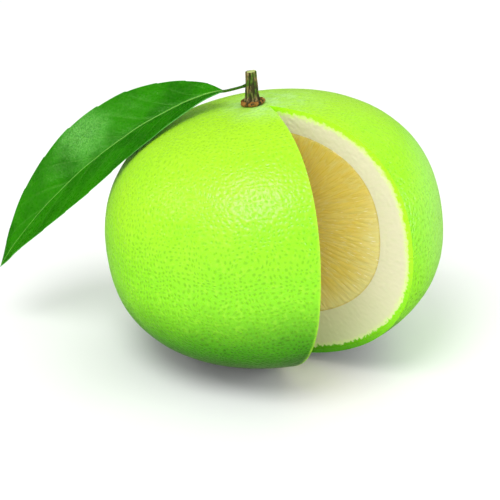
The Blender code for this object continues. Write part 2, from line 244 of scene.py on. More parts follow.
class StalkSettings(bpy.types.PropertyGroup):
    calyx_radius: length("Calyx radius", "Half the width of the button", 5.3)
    calyx_height: length("Calyx height", "Height of the button", 3.0)
    calyx_shift: FloatProperty(name="Calyx shift", description="Along the fruit's X",
                               default=-1.6 * MM, unit="LENGTH")
    calyx_lobes: IntProperty(name="Calyx lobes", description="Lobes of the button", default=5)
    stem_length: length("Stem length", "Length of the woody stub", 14.4)
    foot_radius: length("Foot radius", "Radius at the calyx", 3.2)
    top_radius: length("Top radius", "Radius at the cut end", 2.3)
    lean: FloatProperty(name="Lean", description="Turn of the stem about the fruit's Y",
                        default=radians(4.5), subtype="ANGLE")
    bark: colour("Bark", "Pale brown bark", (0.30, 0.22, 0.085))
    green_bark: colour("Green bark", "Green strips in the bark", (0.065, 0.17, 0.010))
    cut_end: colour("Cut end", "Wood on the cut end", (0.42, 0.50, 0.16))
    button: colour("Button", "Dry calyx", (0.30, 0.135, 0.022))
    # Used for painted shade in the calyx's creases and the bark's grooves, and for the bark's dark
    # strips
    button_dark: colour("Button creases", "Creases of the calyx", (0.035, 0.032, 0.009))


class LeafSettings(bpy.types.PropertyGroup):
    half_width: length("Half width", "From the midrib to the margin", 26.0)
    thickness: length("Thickness", "Thickness of the blade", 0.7)
    rib_radius: length("Midrib radius", "Radius of the midrib at the blade's foot", 0.85)
    petiole_radius: length("Petiole radius", "Radius of the leaf's stalk", 0.65)
    petiole_height: length("Petiole height", "Height of the petiole on the stem", 7.6)
    wave: length("Quilting", "Swell of the blade between its veins", 0.10)
    vein_pairs: IntProperty(name="Vein pairs", description="Side veins", default=9)
    teeth: IntProperty(name="Teeth", description="Notches along each margin", default=10)
    tooth_depth: ratio("Tooth depth", "As a share of the half width", 0.022)
    green: colour("Green", "Upper face", (0.021, 0.225, 0.0003))
    dark: colour("Dark", "Shaded patches", (0.008, 0.12, 0.0008))
    stalk: colour("Stalk", "Petiole", (0.035, 0.11, 0.008))
    vein: colour("Vein", "Midrib and side veins", (0.20, 0.50, 0.08))
    edge: colour("Edge", "Pale rim of the blade", (0.13, 0.42, 0.09))
    under: colour("Under", "Lower face", (0.09, 0.28, 0.03))
    # Painted sheen: a pale patch standing in for the left lamp's gleam on the leaf
    sheen_patch: colour("Bloom", "Dusty patch on the upper face", (0.16, 0.52, 0.09))


class StageSettings(bpy.types.PropertyGroup):
    floor: colour("Floor", "Floor and backdrop", (0.92, 0.92, 0.92))
    world_light: ratio("World light", "Strength of the light from all sides", 0.72)
    key_light: ratio("Key light", "Watts of the large lamp at the front left", 7.9)
    front_light: ratio("Front light", "Watts of the low lamp at the front", 4.5)
    side_light: ratio("Side light", "Watts of the lamp at the right", 7.5)
    left_light: ratio("Left light", "Watts of the lamp at the left, mirrored by the leaf", 1.3)
    back_light: ratio("Back light", "Watts of the lamp high behind", 6.5)
    key_size: FloatProperty(name="Key size", description="Width of the large lamp",
                            default=0.75, unit="LENGTH")


class PomeloSettings(bpy.types.PropertyGroup):
    fruit: PointerProperty(type=FruitSettings)
    rind: PointerProperty(type=RindColours)
    pith: PointerProperty(type=PithSettings)
    pulp: PointerProperty(type=PulpSettings)
    stalk: PointerProperty(type=StalkSettings)
    leaf: PointerProperty(type=LeafSettings)
    stage: PointerProperty(type=StageSettings)


def settings():
    return bpy.context.scene.pomelo


# Nodes of the finishes

class NodeTree:
    """A node tree with short calls for the nodes that the finishes are made of."""

    def __init__(self, tree):
        self.tree = tree

    def node(self, kind, sockets=None, **options):
        """Add a node, set its options, and link or fill the sockets that are named."""
        item = self.tree.nodes.new(kind)
        for option, value in options.items():
            setattr(item, option, value)
        for name, value in (sockets or {}).items():
            self.feed(item.inputs[name], value)
        return item

    def feed(self, socket, value):
        if isinstance(value, bpy.types.NodeSocket):
            self.tree.links.new(value, socket)
        elif socket.type == "RGBA":
            socket.default_value = (*value, 1.0)
        else:
            socket.default_value = value

    def math(self, operation, *values, clamp=False):
        sockets = dict(enumerate(values))
        return self.node("ShaderNodeMath", sockets, operation=operation,
                         use_clamp=clamp).outputs[0]

    def vector_math(self, operation, *values):
        sockets = dict(enumerate(values))
        return self.node("ShaderNodeVectorMath", sockets, operation=operation).outputs

    def plus(self, first, second):
        return self.math("ADD", first, second)

    def minus(self, first, second):
        return self.math("SUBTRACT", first, second)

    def times(self, first, second):
        return self.math("MULTIPLY", first, second)

    def scaled(self, value, factor, offset):
        """The value times the factor, plus the offset."""
        return self.math("MULTIPLY_ADD", value, factor, offset)

    def hypotenuse(self, first, second):
        return self.math("SQRT", self.plus(self.times(first, first), self.times(second, second)))

    def ramp(self, value, start, end, high=1.0, low=0.0):
        """Smooth step from low at the start to high at the end, which may lie below the start."""
        sockets = {0: value, 1: start, 2: end, 3: low, 4: high}
        return self.node("ShaderNodeMapRange", sockets, interpolation_type="SMOOTHSTEP").outputs[0]

    def mix(self, share, first, second):
        sockets = {0: share, 6: first, 7: second}
        return self.node("ShaderNodeMix", sockets, data_type="RGBA").outputs[2]

    def fade(self, first, second, value, start, end, high=1.0):
        """One colour that turns into another as a value goes from start to end."""
        return self.mix(self.ramp(value, start, end, high), first, second)

    def here(self):
        return self.node("ShaderNodeTexCoord").outputs["Object"]

    def place(self):
        """Object coordinates turned into the fruit's own axes."""
        turn = fruit_axes().to_euler()
        sockets = {"Vector": self.here(), "Location": FRUIT_CENTRE, "Rotation": turn}
        return self.node("ShaderNodeMapping", sockets, vector_type="TEXTURE").outputs[0]

    def stretch(self, vector, scale):
        sockets = {"Vector": vector, "Scale": scale}
        return self.node("ShaderNodeMapping", sockets).outputs[0]

    def split(self, vector):
        return self.node("ShaderNodeSeparateXYZ", {0: vector}).outputs

    def noise(self, vector, scale, detail=2.0, roughness=0.5):
        sockets = {"Vector": vector, "Scale": scale, "Detail": detail, "Roughness": roughness}
        return self.node("ShaderNodeTexNoise", sockets).outputs[0]

    def from_cut(self, place, cut):
        """Distance from a knife cut's plane, below 0 to its left."""
        along = self.vector_math("DOT_PRODUCT", place, cut_normal(cut))
        return self.minus(along["Value"], cut[2])

    def mask(self, name, output="Fac"):
        """Numbers that the mesh carries: one, or three as a Vector."""
        return self.node("ShaderNodeAttribute", attribute_name=name).outputs[output]

    def bump(self, height, distance, strength):
        sockets = {"Height": height, "Distance": distance, "Strength": strength}
        return self.node("ShaderNodeBump", sockets).outputs[0]

    def group(self, tree, sockets=None):
        return self.node("ShaderNodeGroup", sockets, node_tree=tree).outputs


def shared_group(name, inputs, make_outputs):
    """A group of float sockets, built once, whose outputs come from make_outputs(nodes, inlet)."""
    if name not in bpy.data.node_groups:
        tree = bpy.data.node_groups.new(name, "ShaderNodeTree")
        for label, default in inputs.items():
            socket = tree.interface.new_socket(label, in_out="INPUT",
                                               socket_type="NodeSocketFloat")
            socket.default_value = default
        nodes = NodeTree(tree)
        made = make_outputs(nodes, nodes.node("NodeGroupInput").outputs)
        for label in made:
            tree.interface.new_socket(label, in_out="OUTPUT", socket_type="NodeSocketFloat")
        nodes.node("NodeGroupOutput", made)
    return bpy.data.node_groups[name]


def layer_depth_group():
    band = settings().fruit.rind_thickness + BAND_EXTRA
    inputs = {"Band": band, "Raggedness": BAND_RAGGEDNESS}
    return shared_group("layer_depth", inputs, layer_depth)


def layer_depth(nodes, inlet):
    """Depth under the rind, how green and how yellow the cut is there, and how high it lies."""
    fruit = settings().fruit
    place = nodes.place()
    x, y, z = nodes.split(place)
    above = nodes.math("GREATER_THAN", z, 0.0)
    fullness = nodes.scaled(above, fruit.crown_fullness - fruit.base_fullness, fruit.base_fullness)
    height = nodes.scaled(above, fruit.crown_height - fruit.base_height, fruit.base_height)
    across = nodes.math("DIVIDE", nodes.hypotenuse(x, y), fruit.radius)
    along = nodes.math("DIVIDE", nodes.math("ABSOLUTE", z), height)
    total = nodes.plus(nodes.math("POWER", across, fullness), nodes.math("POWER", along, fullness))
    gauge_value = nodes.math("POWER", total, nodes.math("DIVIDE", 1.0, fullness))
    distance = nodes.vector_math("LENGTH", place)["Value"]
    depth = nodes.times(nodes.minus(1.0, gauge_value), distance)
    rough = nodes.minus(nodes.noise(place, 620.0, 3.0), 0.5)
    edge = nodes.scaled(rough, inlet["Raggedness"], inlet["Band"])
    level = nodes.math("DIVIDE", z, height)
    edge = nodes.plus(edge, nodes.ramp(level, -0.20, -0.80, BASE_BAND_EXTRA))
    past = nodes.minus(depth, edge)
    green = nodes.ramp(past, 0.35 * MM, -0.5 * MM)
    fringe = nodes.ramp(past, 2.0 * MM, 0.0)
    return {"Depth": depth, "Green": green, "Fringe": fringe, "Level": level}


def mottle_group():
    return shared_group("mottle", {"Scale": 60.0, "Amount": 0.2}, mottle_outputs)


def mottle_outputs(nodes, inlet):
    """Natural unevenness of a colour: broad clouds with fine specks in them."""
    here = nodes.here()
    clouds = nodes.noise(here, inlet["Scale"], 3.0)
    specks = nodes.noise(here, nodes.times(inlet["Scale"], 9.0), 2.0)
    made = {}
    for label, value in (("Clouds", clouds), ("Specks", specks)):
        share = nodes.times(nodes.minus(value, 0.5), inlet["Amount"])
        made[label] = nodes.math("ADD", share, 0.5, clamp=True)
    return made


def new_material(name, constants):
    """A material and its node tree, with constants set on the shader's own sockets."""
    material = bpy.data.materials.new(name)
    material.use_nodes = True
    shader = material.node_tree.nodes["Principled BSDF"]
    for socket, value in constants.items():
        shader.inputs[socket].default_value = value
    return material, NodeTree(material.node_tree), shader.inputs


# Forms of the fruit

def fruit_axes():
    """Turn that leans the upright axis as the fruit leans."""
    axis = Vector((-tan(LEAN_LEFT), tan(LEAN_BACK), 1.0))
    return UP.rotation_difference(axis).to_matrix()


def fruit_matrix():
    """From the fruit's own axes to its place on the floor."""
    return Matrix.Translation(FRUIT_CENTRE) @ fruit_axes().to_4x4()


def rind_layer(inset):
    fruit = settings().fruit
    return Layer(fruit.radius - inset, fruit.crown_height - inset, fruit.base_height - inset,
                 fruit.crown_fullness, fruit.base_fullness, 0.0)


def pulp_layer():
    pulp = settings().pulp
    return Layer(pulp.radius, pulp.half_height, pulp.half_height, pulp.fullness, pulp.fullness,
                 pulp.rise)


def gauge(layer, point):
    """1 on a layer's surface and less inside it."""
    level = point.z - layer.rise
    height, fullness = (layer.base, layer.base_fullness)
    if level >= 0.0:
        height, fullness = (layer.crown, layer.crown_fullness)
    across = hypot(point.x, point.y) / layer.radius
    return (across ** fullness + (abs(level) / height) ** fullness) ** (1.0 / fullness)


def reach(layer, start, direction):
    """Distance from a point inside a layer to its surface."""
    near, far = 0.0, 2.0 * layer.radius
    for _ in range(HALVINGS):
        middle = (near + far) / 2.0
        if gauge(layer, start + middle * direction) < 1.0:
            near = middle
        else:
            far = middle
    return far


def cut_normal(cut):
    azimuth, tilt, _ = cut
    return Vector((cos(azimuth) * cos(tilt), sin(azimuth) * cos(tilt), sin(tilt)))


def in_notch(point, margin):
    """True between the two knife cuts, or within a margin outside them."""
    past_left = cut_normal(LEFT_CUT).dot(point) > LEFT_CUT[2] - margin
    return past_left and cut_normal(RIGHT_CUT).dot(point) < RIGHT_CUT[2] + margin


class Hinge:
    """Line where the two knife cuts meet, and the half planes that turn about it."""

    def __init__(self):
        left, right = cut_normal(LEFT_CUT), cut_normal(RIGHT_CUT)
        self.line = left.cross(right).normalized()
        if self.line.z < 0.0:
            self.line.negate()
        level = settings().pulp.rise
        share = Matrix((left, right, UP)).inverted()
        self.core = share @ Vector((LEFT_CUT[2], RIGHT_CUT[2], level))
        self.right_edge = self.outward(right)
        left_edge = self.outward(left)
        self.side = self.line.cross(self.right_edge)
        self.sweep = atan2(left_edge.dot(self.side), left_edge.dot(self.right_edge)) % tau
        self.cut_faces = ((0.0, -right), (self.sweep, left))

    def outward(self, normal):
        """Direction in a knife cut, square to the line, that points out of the notch."""
        direction = self.line.cross(normal)
        if direction.y > 0.0:
            direction.negate()
        return direction.normalized()

    def ray(self, turn, tilt):
        """Turn runs from 0, the right cut, round the back to the sweep, the left cut."""
        level = cos(turn) * self.right_edge + sin(turn) * self.side
        return cos(tilt) * level + sin(tilt) * self.line


def add_grid(builder, across, along):
    """A new grid's vertices, each with its place from 0 to 1 and from -1 to 1."""
    made = bmesh.ops.create_grid(builder, x_segments=across, y_segments=along, size=1.0)
    return [(corner, (corner.co.x + 1.0) / 2.0, corner.co.y) for corner in made["verts"]]


def new_marks(builder, *names):
    """Numbers on the vertices, for the finishes to read."""
    return [builder.verts.layers.float.new(name) for name in names]


def add_hidden_surface(builder, hinge, layer):
    """The part of a layer's surface that runs round behind, from one cut to the other."""
    for corner, turn, tilt in add_grid(builder, HIDDEN_STEPS, FACE_STEPS):
        ray = hinge.ray(turn * hinge.sweep, tilt * pi / 2.0)
        corner.co = hinge.core + reach(layer, hinge.core, ray) * ray


def add_cut_face(builder, hinge, turn, rings, inner, outer, surface):
    """A fan of the cut face between two layers, shaped by surface(corner, radius, tilt, edge)."""
    reaches = {}
    for corner, share, tilt in add_grid(builder, rings, FACE_STEPS):
        ray = hinge.ray(turn, tilt * pi / 2.0)
        key = round(tilt, 6)
        if key not in reaches:
            start = reach(inner, hinge.core, ray) if inner else 0.0
            reaches[key] = (start, reach(outer, hinge.core, ray))
        start, end = reaches[key]
        radius = start + share * (end - start)
        corner.co = hinge.core + radius * ray
        surface(corner, radius, tilt * pi / 2.0, (radius - start, end - radius))


def weld(builder):
    bmesh.ops.remove_doubles(builder, verts=builder.verts, dist=MERGE)


def mesh_of(builder, name):
    mesh = bpy.data.meshes.new(name)
    builder.to_mesh(mesh)
    builder.free()
    return mesh


def show_object(name, data):
    item = bpy.data.objects.new(name, data)
    bpy.context.scene.collection.objects.link(item)
    return item


def finish_piece(builder, name, node, material, place=Matrix(), sharp=50.0):
    """Turn a closed bmesh into the smooth piece, set in its place, that stands for a CAD node."""
    wide = [face for face in builder.faces if len(face.verts) > 4]
    bmesh.ops.triangulate(builder, faces=wide)
    bmesh.ops.recalc_face_normals(builder, faces=builder.faces[:])
    bmesh.ops.transform(builder, matrix=place, verts=builder.verts)
    mesh = mesh_of(builder, name)
    mesh.shade_smooth()
    mesh.set_sharp_from_angle(angle=radians(sharp))
    mesh.materials.append(material)
    item = show_object(name, mesh)
    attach(item, "root")
    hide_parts(node)


# Rind

def rind_surface(cuts, layer, relief):
    """Mesh of a cube whose squares are spread evenly over the layer's surface."""
    builder = bmesh.new()
    bmesh.ops.create_cube(builder, size=2.0)
    bmesh.ops.subdivide_edges(builder, edges=builder.edges[:], cuts=cuts, use_grid_fill=True)
    for corner in builder.verts:
        direction = Vector([tan(part * pi / 4.0) for part in corner.co])
        corner.co = direction / gauge(layer, direction)
        if relief:
            corner.co -= rind_relief(corner.co) * corner.co.normalized()
    return mesh_of(builder, "rind_surface")


def rind_relief(point):
    """Depth of the rind's broad swells under the even layer, with shallow dents between them."""
    fruit = settings().fruit
    broad = noise.noise(point / SWELL_WIDTH)
    dent = noise.noise(point / DENT_WIDTH)
    return fruit.swell_height * min(1.0, max(0.0, 0.5 + 0.4 * broad + 0.12 * dent))


def cut_notch(builder):
    """Slice along both knife cuts round the notch and delete what lies between them."""
    for cut in (LEFT_CUT, RIGHT_CUT):
        faces = [face for face in builder.faces
                 if in_notch(face.calc_center_median(), NOTCH_MARGIN)]
        edges = {edge for face in faces for edge in face.edges}
        corners = {corner for face in faces for corner in face.verts}
        normal = cut_normal(cut)
        bmesh.ops.bisect_plane(builder, geom=faces + list(edges) + list(corners), dist=MERGE,
                               plane_co=normal * cut[2], plane_no=normal)
    doomed = [face for face in builder.faces if in_notch(face.calc_center_median(), 0.0)]
    bmesh.ops.delete(builder, geom=doomed, context="FACES")


def close_walls(builder):
    """Join the outer and the inner surface along both cuts; returns the walls."""
    def on_cut(corner, cut):
        return abs(cut_normal(cut).dot(corner.co) - cut[2]) < 2.0 * MERGE

    rims = [edge for edge in builder.edges if edge.is_boundary]
    walls = []
    for cut in (LEFT_CUT, RIGHT_CUT):
        rails = [edge for edge in rims if all(on_cut(corner, cut) for corner in edge.verts)]
        walls += bmesh.ops.bridge_loops(builder, edges=rails)["faces"]
    return walls


def set_on_floor(builder):
    """Lean the rind, set it in place and cut its flat spot."""
    bmesh.ops.transform(builder, matrix=fruit_matrix(), verts=builder.verts)
    everything = builder.verts[:] + builder.edges[:] + builder.faces[:]
    sliced = bmesh.ops.bisect_plane(builder, geom=everything, dist=MERGE, clear_outer=True,
                                    plane_co=(0.0, 0.0, 0.0), plane_no=(0.0, 0.0, -1.0))
    rim = [part for part in sliced["geom_cut"] if isinstance(part, bmesh.types.BMEdge)]
    bmesh.ops.contextual_create(builder, geom=rim)


def gland_nodes(nodes, place):
    """Distance to the nearest oil gland, in gland spacings, and a random number for each gland.

    The glands stand in wavy rings round the fruit's axis, each moved a little within its cell.
    """
    fruit = settings().fruit
    bend = nodes.node("ShaderNodeTexNoise", {"Vector": place, "Scale": 75.0, "Detail": 1.0})
    bend = bend.outputs["Color"]
    bent = nodes.vector_math("MULTIPLY_ADD", bend, (GLAND_BEND,) * 3, place)[0]
    x, y, z = nodes.split(bent)
    polar = nodes.math("ARCTAN2", nodes.hypotenuse(x, y), z)
    rows = nodes.times(polar, fruit.radius / fruit.gland_spacing)
    row = nodes.math("FLOOR", rows)
    middle = nodes.scaled(row, fruit.gland_spacing / fruit.radius,
                          0.5 * fruit.gland_spacing / fruit.radius)
    ring = nodes.times(nodes.math("SINE", middle), tau * fruit.radius / fruit.gland_spacing)
    count = nodes.math("MAXIMUM", 1.0, nodes.math("FLOOR", ring))
    turn = nodes.scaled(nodes.math("ARCTAN2", y, x), 1.0 / tau, 0.5)
    turns = nodes.times(turn, count)
    cell = nodes.node("ShaderNodeCombineXYZ", {0: nodes.math("FLOOR", turns), 1: row}).outputs[0]
    chance = nodes.node("ShaderNodeTexWhiteNoise", {"Vector": cell})
    sway_round, sway_down, _ = nodes.split(chance.outputs["Color"])
    off_round = nodes.minus(nodes.math("FRACT", turns), 0.5 - 0.5 * GLAND_SWAY)
    off_round = nodes.scaled(sway_round, -GLAND_SWAY, off_round)
    off_down = nodes.minus(nodes.math("FRACT", rows), 0.5 - 0.5 * GLAND_SWAY)
    off_down = nodes.scaled(sway_down, -GLAND_SWAY, off_down)
    return nodes.hypotenuse(off_round, off_down), chance.outputs["Value"]


def cut_rind(nodes, level, fringe, green, inside):
    """Colour of the cut rind over the colour inside it, painted deeper green and darker towards
    the base as shade.
    """
    look = settings().rind
    band = nodes.fade(look.band, look.lime, level, -0.05, -0.45)
    # Painted shade: the band darkens towards the base
    band = nodes.fade(band, look.shade, level, -0.50, -0.95, 0.85)
    fringe = nodes.times(fringe, nodes.ramp(level, -0.60, -0.10, 1.0, 0.4))
    return nodes.mix(green, nodes.mix(fringe, inside, look.fringe), band)


def rind_material():
    look, fruit = settings().rind, settings().fruit
    material, nodes, shader = new_material("waxy_rind", {
        "Specular IOR Level": 0.85, "Specular Tint": (0.72, 1.0, 0.90, 1.0),
        "Sheen Weight": 0.32, "Sheen Roughness": 0.30, "Sheen Tint": (0.68, 1.0, 0.46, 1.0)})
    place = nodes.place()
    layers = nodes.group(layer_depth_group())
    mottle = nodes.group(mottle_group(), {"Scale": 45.0, "Amount": 0.9})
    x, y, z = nodes.split(place)
    # Painted light: the rind turns yellower and lighter towards the top and the left, where the
    # key lamp falls
    side = nodes.scaled(x, -2.0, mottle["Clouds"])
    side = nodes.scaled(z, 16.0, side)
    skin = nodes.fade(look.lime, look.painted_light, side, 0.45, 1.50)
    # Painted shade: the rind darkens towards its base and is darkest at the resting spot; lit
    # holds this back on the right side, which the backdrop lights
    low = nodes.scaled(mottle["Clouds"], 0.25, layers["Level"])
    lit = nodes.ramp(x, 60.0 * MM, 36.0 * MM)
    for start, end, most, deeper in ((-0.45, 0.10, 0.95, look.shade),
                                     (-0.74, -0.36, 1.0, look.base)):
        share = nodes.times(nodes.ramp(low, end, start, most), lit)
        skin = nodes.mix(share, skin, deeper)
    crown = nodes.scaled(mottle["Clouds"], 18.0 * MM, nodes.hypotenuse(x, y))
    crown = nodes.scaled(x, -0.30, crown)
    crown = nodes.times(nodes.ramp(crown, 38.0 * MM, 14.0 * MM, 0.95),
                        nodes.math("GREATER_THAN", z, 0.0))
    patches = nodes.ramp(nodes.noise(place, 230.0, 3.0), 0.38, 0.62, 1.0, 0.35)
    crown = nodes.times(crown, patches)
    # Painted reflection: pale towards the right edge, standing in for the backdrop seen at a
    # grazing angle
    crown = nodes.math("MAXIMUM", crown, nodes.ramp(x, 61.0 * MM, 81.0 * MM, 0.5))
    skin = nodes.mix(crown, skin, look.crown)
    glands, chance = gland_nodes(nodes, place)
    dots = nodes.ramp(glands, 0.40, 0.06)
    shown = nodes.times(dots, nodes.ramp(layers["Level"], 0.0, 0.80, 0.30, 0.85))
    shown = nodes.times(shown, nodes.scaled(chance, 0.4, 0.7))
    shown = nodes.times(shown, nodes.ramp(x, 35.0 * MM, 65.0 * MM, 0.6, 1.0))
    fine = nodes.noise(place, 1500.0, 2.0)
    # Paler flecks on the raised pebbles, part mottling and part painted highlight where the
    # pebbles catch light; none towards the base
    pebbles = nodes.noise(place, 480.0, 1.0)
    pale = nodes.times(nodes.ramp(pebbles, 0.50, 0.72, 0.35), nodes.ramp(low, -0.50, 0.10))
    skin = nodes.mix(pale, skin, look.rim)
    # Painted shade: the oil glands darken with the rind towards the base
    gland = nodes.fade(look.gland, look.base, low, 0.0, -0.50, 0.9)
    skin = nodes.mix(shown, skin, gland)
    # Painted highlight: a pale line along the left knife edge of the rind
    edge = nodes.math("ABSOLUTE", nodes.from_cut(place, LEFT_CUT))
    rim = nodes.scaled(fine, 1.6 * MM, edge)
    rim = nodes.times(nodes.ramp(rim, 2.2 * MM, 0.8 * MM, 0.60),
                      nodes.math("LESS_THAN", nodes.from_cut(place, RIGHT_CUT), 0.0))
    skin = nodes.mix(rim, skin, look.rim)
    cut_skin = cut_rind(nodes, layers["Level"], layers["Fringe"], layers["Green"],
                        settings().pith.tint)
    wall = nodes.mask("wall")
    nodes.feed(shader["Base Color"], nodes.mix(wall, skin, cut_skin))
    nodes.feed(shader["Roughness"], nodes.ramp(fine, 0.3, 0.7, 0.37, 0.27))
    height = nodes.scaled(pebbles, 1.6, nodes.ramp(glands, 0.04, 0.40, 0.5))
    height = nodes.scaled(fine, 0.10, height)
    nodes.feed(shader["Normal"], nodes.bump(height, fruit.gland_depth, 1.0))
    return material


def build_rind():
    fruit = settings().fruit
    builder = bmesh.new()
    for surface in (rind_surface(RIND_CUTS, rind_layer(RIND_INSET), True),
                    rind_surface(LINING_CUTS, rind_layer(fruit.rind_thickness), False)):
        builder.from_mesh(surface)
        bpy.data.meshes.remove(surface)
    mark = builder.faces.layers.float.new("wall")
    cut_notch(builder)
    for wall in close_walls(builder):
        wall[mark] = 1.0
    set_on_floor(builder)
    finish_piece(builder, "rind", "skin", rind_material())


# Pith

def pith_material():
    look = settings().pith
    material, nodes, shader = new_material("cut_pith",
                                           {"Roughness": 0.72, "Specular IOR Level": 0.25})
    layers = nodes.group(layer_depth_group())
    mottle = nodes.group(mottle_group(), {"Scale": 90.0, "Amount": 0.8})
    fibre_place = nodes.mask("fibre", "Vector")
    fibres = nodes.noise(fibre_place, 1.0, 3.0, 0.6)
    pith = nodes.fade(look.cream, look.fibre_streak_and_shade, fibres, 0.40, 0.75, 0.28)
    near = nodes.ramp(layers["Depth"], 6.0 * MM, 2.2 * MM, 0.75)
    near = nodes.times(near, nodes.plus(mottle["Clouds"], 0.4))
    pith = nodes.mix(near, pith, look.tint)
    # Painted shade: the pith darkens towards the base
    low = nodes.scaled(mottle["Clouds"], 0.3, layers["Level"])
    pith = nodes.fade(pith, look.fibre_streak_and_shade, low, -0.10, -0.80, 0.8)
    pith = cut_rind(nodes, layers["Level"], layers["Fringe"], layers["Green"], pith)
    nodes.feed(shader["Base Color"], pith)
    height = nodes.scaled(mottle["Specks"], 0.4, fibres)
    nodes.feed(shader["Normal"], nodes.bump(height, 0.25 * MM, 0.5))
    return material


def build_albedo():
    look = settings()
    hinge = Hinge()
    outer, inner = rind_layer(look.fruit.rind_thickness + LAYER_GAP), pulp_layer()
    builder = bmesh.new()
    fibre = builder.verts.layers.float_vector.new("fibre")
    add_hidden_surface(builder, hinge, outer)
    add_hidden_surface(builder, hinge, inner)
    for turn, facing in hinge.cut_faces:
        def spongy(corner, radius, tilt, edges):
            fade = min(1.0, min(edges) / PITH_RIM, radius * cos(tilt) / PITH_CORE)
            lump = noise.fractal(corner.co / LUMP_WIDTH, 1.0, 2.0, 2)
            corner[fibre] = (radius / FIBRE_WIDTH, 48.0 * tilt, turn)
            corner.co += look.pith.fibre_height * lump * max(0.0, fade) * facing
        add_cut_face(builder, hinge, turn, PITH_FACE_RINGS, inner, outer, spongy)
    weld(builder)
    finish_piece(builder, "albedo", "pith", pith_material(), fruit_matrix())


# Pulp

def pulp_material():
    look = settings().pulp
    material, nodes, shader = new_material("juicy_pulp", {
        "Coat Weight": 0.7, "Coat Roughness": 0.09, "Subsurface Weight": 0.35,
        "Subsurface Scale": 3.0 * MM, "Subsurface Radius": (1.0, 0.7, 0.25)})
    sac_place = nodes.mask("sac_place", "Vector")
    crease = nodes.mask("crease")
    tint = nodes.mask("tint")
    rim = nodes.mask("rim")
    streaks = nodes.noise(nodes.stretch(sac_place, (1.1, 3.8, 1.0)), 1.0, 3.0, 0.6)
    glint_noise = nodes.noise(nodes.stretch(sac_place, (2.2, 6.0, 1.0)), 1.0, 1.0)
    pulp = nodes.fade(look.gold, look.pale, tint, 0.30, 0.90, 0.35)
    pulp = nodes.fade(pulp, look.deep_juice_and_shade, streaks, 0.45, 0.30, 0.35)
    pulp = nodes.fade(pulp, look.pale, streaks, 0.55, 0.72, 0.45)
    _, _, z = nodes.split(nodes.place())
    lower = nodes.ramp(z, 40.0 * MM, 5.0 * MM, 0.60)
    pulp = nodes.mix(nodes.times(nodes.ramp(rim, 14.0 * MM, 1.0 * MM), lower), pulp, look.pale)
    # Painted shade: the pulp darkens towards the top
    pulp = nodes.fade(pulp, look.deep_juice_and_shade, z, 5.0 * MM, 35.0 * MM, 0.45)
    pulp = nodes.fade(pulp, look.pale, crease, 0.10, 0.01, 0.30)
    pulp = nodes.fade(pulp, look.deep_juice_and_shade, rim, 0.9 * MM, 0.1 * MM, 0.55)
    # Painted highlight: small white glints on the sacs, most near the middle height
    painted_glint = nodes.times(nodes.ramp(glint_noise, 0.67, 0.73, 0.8),
                        nodes.ramp(nodes.math("ABSOLUTE", z), 30.0 * MM, 10.0 * MM))
    pulp = nodes.mix(painted_glint, pulp, look.painted_glint)
    nodes.feed(shader["Base Color"], pulp)
    nodes.feed(shader["Roughness"], nodes.ramp(streaks, 0.3, 0.7, 0.42, 0.22))
    nodes.feed(shader["Normal"], nodes.bump(streaks, 0.3 * MM, 0.45))
    return material


def build_pulp():
    look = settings().pulp
    hinge = Hinge()
    layer = pulp_layer()
    builder = bmesh.new()
    sac_place = builder.verts.layers.float_vector.new("sac_place")
    crease, tint, rim = new_marks(builder, "crease", "tint", "rim")
    add_hidden_surface(builder, hinge, layer)
    for turn, facing in hinge.cut_faces:
        def sacs(corner, radius, tilt, edges):
            place = Vector((radius / look.sac_length, tilt * look.radius / look.sac_width, turn))
            distances, points = noise.voronoi(place)
            gap = distances[1] - distances[0]
            corner[sac_place] = place
            corner[crease] = gap
            corner[tint] = 0.5 + 0.5 * noise.noise(points[0] * 7.3)
            corner[rim] = edges[1]
            fade = min(1.0, edges[1] / PULP_RIM, radius * cos(tilt) / PULP_CORE - 0.5)
            dome = min(1.0, gap / 0.45) ** 0.6
            corner.co += look.sac_height * dome * max(0.0, fade) * facing
        add_cut_face(builder, hinge, turn, PULP_FACE_RINGS, None, layer, sacs)
    weld(builder)
    finish_piece(builder, "pulp", "flesh", pulp_material(), fruit_matrix(), 80.0)


# Calyx and stem

def crown_place():
    """Foot of the calyx on the rind beside the fruit's pole."""
    look = settings()
    return Vector((look.stalk.calyx_shift, 0.0, look.fruit.crown_height))


def stem_matrix():
    """Stem's own axes in the fruit's: its foot in the calyx, leaning back upright."""
    look = settings().stalk
    foot = crown_place() + Vector((0.0, 0.0, 0.75 * look.calyx_height - STEM_SINK))
    return Matrix.Translation(foot) @ Matrix.Rotation(look.lean, 4, "Y")


def button_material():
    look = settings().stalk
    material, nodes, shader = new_material("dry_calyx",
                                           {"Roughness": 0.68, "Specular IOR Level": 0.2})
    mottle = nodes.group(mottle_group(), {"Scale": 520.0, "Amount": 2.4})
    hollow_shade = nodes.mask("hollow_shade")
    # Painted shade: darker in the creases between the lobes and in the hollow round the stem
    shade = nodes.plus(hollow_shade, nodes.minus(mottle["Clouds"], 0.5))
    dry = nodes.fade(look.button, look.button_dark, shade, 0.10, 0.70)
    nodes.feed(shader["Base Color"], dry)
    nodes.feed(shader["Normal"], nodes.bump(mottle["Clouds"], 0.4 * MM, 0.8))
    return material


